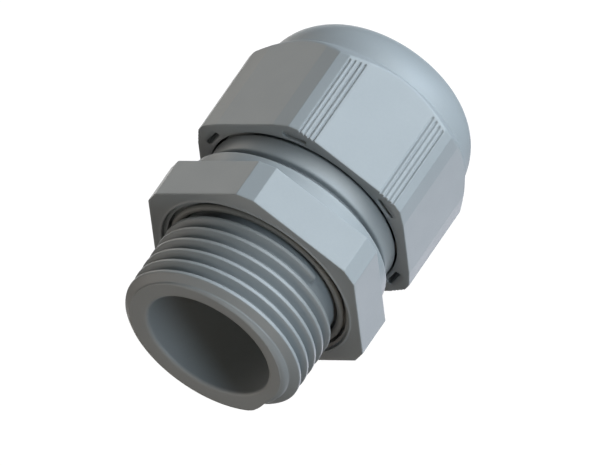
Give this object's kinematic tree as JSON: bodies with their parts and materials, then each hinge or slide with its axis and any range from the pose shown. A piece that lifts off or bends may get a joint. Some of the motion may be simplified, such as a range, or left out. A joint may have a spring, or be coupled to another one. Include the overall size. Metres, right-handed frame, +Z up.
{
  "type": "cable gland",
  "caption": "Domed plastic cable gland: threaded entry, hexagon flange, clamping fingers and a soft sleeve that a hexagonal dome nut squeezes onto a cable.",
  "frame": {"origin": "under the middle of the gland's length, on the plane that its lower hexagon flats rest on", "axes": "+X along the gland's axis from the entry thread to the dome nut, +Z up through the top flats of both hexagons"},
  "size_m": [0.0374, 0.0266, 0.024],
  "materials": {
    "grey_polyamide": "satin moulded polyamide, blue-grey",
    "grey_polyamide_nut": "satin moulded polyamide, blue-grey",
    "pale_polyamide": "natural moulded polyamide",
    "grey_elastomer": "matt moulded rubber",
    "black_elastomer": "matt moulded rubber"
  },
  "bodies": {
    "root": {"gland_body": "grey_polyamide", "entry_seal_ring": "grey_elastomer", "clamp_cage": "pale_polyamide", "seal_insert": "black_elastomer"},
    "slip": {"slip_ring": "pale_polyamide"},
    "nut": {"dome_nut": "grey_polyamide_nut"},
    "finger_01": {"clamp_finger_01": "pale_polyamide"},
    "finger_02": {"clamp_finger_02": "pale_polyamide"},
    "finger_03": {"clamp_finger_03": "pale_polyamide"},
    "finger_04": {"clamp_finger_04": "pale_polyamide"},
    "finger_05": {"clamp_finger_05": "pale_polyamide"},
    "finger_06": {"clamp_finger_06": "pale_polyamide"},
    "finger_07": {"clamp_finger_07": "pale_polyamide"},
    "finger_08": {"clamp_finger_08": "pale_polyamide"},
    "finger_09": {"clamp_finger_09": "pale_polyamide"},
    "finger_10": {"clamp_finger_10": "pale_polyamide"},
    "finger_11": {"clamp_finger_11": "pale_polyamide"},
    "finger_12": {"clamp_finger_12": "pale_polyamide"}
  },
  "joints": [
    {"name": "nut_turn", "type": "hinge", "parent": "slip", "child": "nut", "pos_m": [0.00072, 0, 0.012], "axis": [1, 0, 0], "range_deg": [-720, 0], "deforming": ["seal_insert"]},
    {"name": "nut_travel", "type": "slide", "parent": "root", "child": "slip", "axis": [1, 0, 0], "range_m": [-0.003, 0]},
    {"name": "finger_fold_01", "type": "hinge", "parent": "root", "child": "finger_01", "pos_m": [0.00877, -0.00728, 0.0162], "axis": [0, 0.5, 0.866], "range_deg": [0, 16]},
    {"name": "finger_fold_02", "type": "hinge", "parent": "root", "child": "finger_02", "pos_m": [0.00877, -0.0084, 0.012], "axis": [0, 0, 1], "range_deg": [0, 16]},
    {"name": "finger_fold_03", "type": "hinge", "parent": "root", "child": "finger_03", "pos_m": [0.00877, -0.00728, 0.0078], "axis": [0, -0.5, 0.866], "range_deg": [0, 16]},
    {"name": "finger_fold_04", "type": "hinge", "parent": "root", "child": "finger_04", "pos_m": [0.00877, -0.0042, 0.00473], "axis": [0, -0.866, 0.5], "range_deg": [0, 16]},
    {"name": "finger_fold_05", "type": "hinge", "parent": "root", "child": "finger_05", "pos_m": [0.00877, 0, 0.0036], "axis": [0, -1, 0], "range_deg": [0, 16]},
    {"name": "finger_fold_06", "type": "hinge", "parent": "root", "child": "finger_06", "pos_m": [0.00877, 0.0042, 0.00473], "axis": [0, -0.866, -0.5], "range_deg": [0, 16]},
    {"name": "finger_fold_07", "type": "hinge", "parent": "root", "child": "finger_07", "pos_m": [0.00877, 0.00728, 0.0078], "axis": [0, -0.5, -0.866], "range_deg": [0, 16]},
    {"name": "finger_fold_08", "type": "hinge", "parent": "root", "child": "finger_08", "pos_m": [0.00877, 0.0084, 0.012], "axis": [0, 0, -1], "range_deg": [0, 16]},
    {"name": "finger_fold_09", "type": "hinge", "parent": "root", "child": "finger_09", "pos_m": [0.00877, 0.00728, 0.0162], "axis": [0, 0.5, -0.866], "range_deg": [0, 16]},
    {"name": "finger_fold_10", "type": "hinge", "parent": "root", "child": "finger_10", "pos_m": [0.00877, 0.0042, 0.01928], "axis": [0, 0.866, -0.5], "range_deg": [0, 16]},
    {"name": "finger_fold_11", "type": "hinge", "parent": "root", "child": "finger_11", "pos_m": [0.00877, 0, 0.0204], "axis": [0, 1, 0], "range_deg": [0, 16]},
    {"name": "finger_fold_12", "type": "hinge", "parent": "root", "child": "finger_12", "pos_m": [0.00877, -0.0042, 0.01928], "axis": [0, 0.866, 0.5], "range_deg": [0, 16]}
  ],
  "couplings": [
    {"joint": "nut_travel", "follows": "nut_turn", "m_per_rad": 0.00023873},
    {"joint": "finger_fold_01", "follows": "nut_turn", "ratio": -0.0222},
    {"joint": "finger_fold_02", "follows": "nut_turn", "ratio": -0.0222},
    {"joint": "finger_fold_03", "follows": "nut_turn", "ratio": -0.0222},
    {"joint": "finger_fold_04", "follows": "nut_turn", "ratio": -0.0222},
    {"joint": "finger_fold_05", "follows": "nut_turn", "ratio": -0.0222},
    {"joint": "finger_fold_06", "follows": "nut_turn", "ratio": -0.0222},
    {"joint": "finger_fold_07", "follows": "nut_turn", "ratio": -0.0222},
    {"joint": "finger_fold_08", "follows": "nut_turn", "ratio": -0.0222},
    {"joint": "finger_fold_09", "follows": "nut_turn", "ratio": -0.0222},
    {"joint": "finger_fold_10", "follows": "nut_turn", "ratio": -0.0222},
    {"joint": "finger_fold_11", "follows": "nut_turn", "ratio": -0.0222},
    {"joint": "finger_fold_12", "follows": "nut_turn", "ratio": -0.0222}
  ]
}
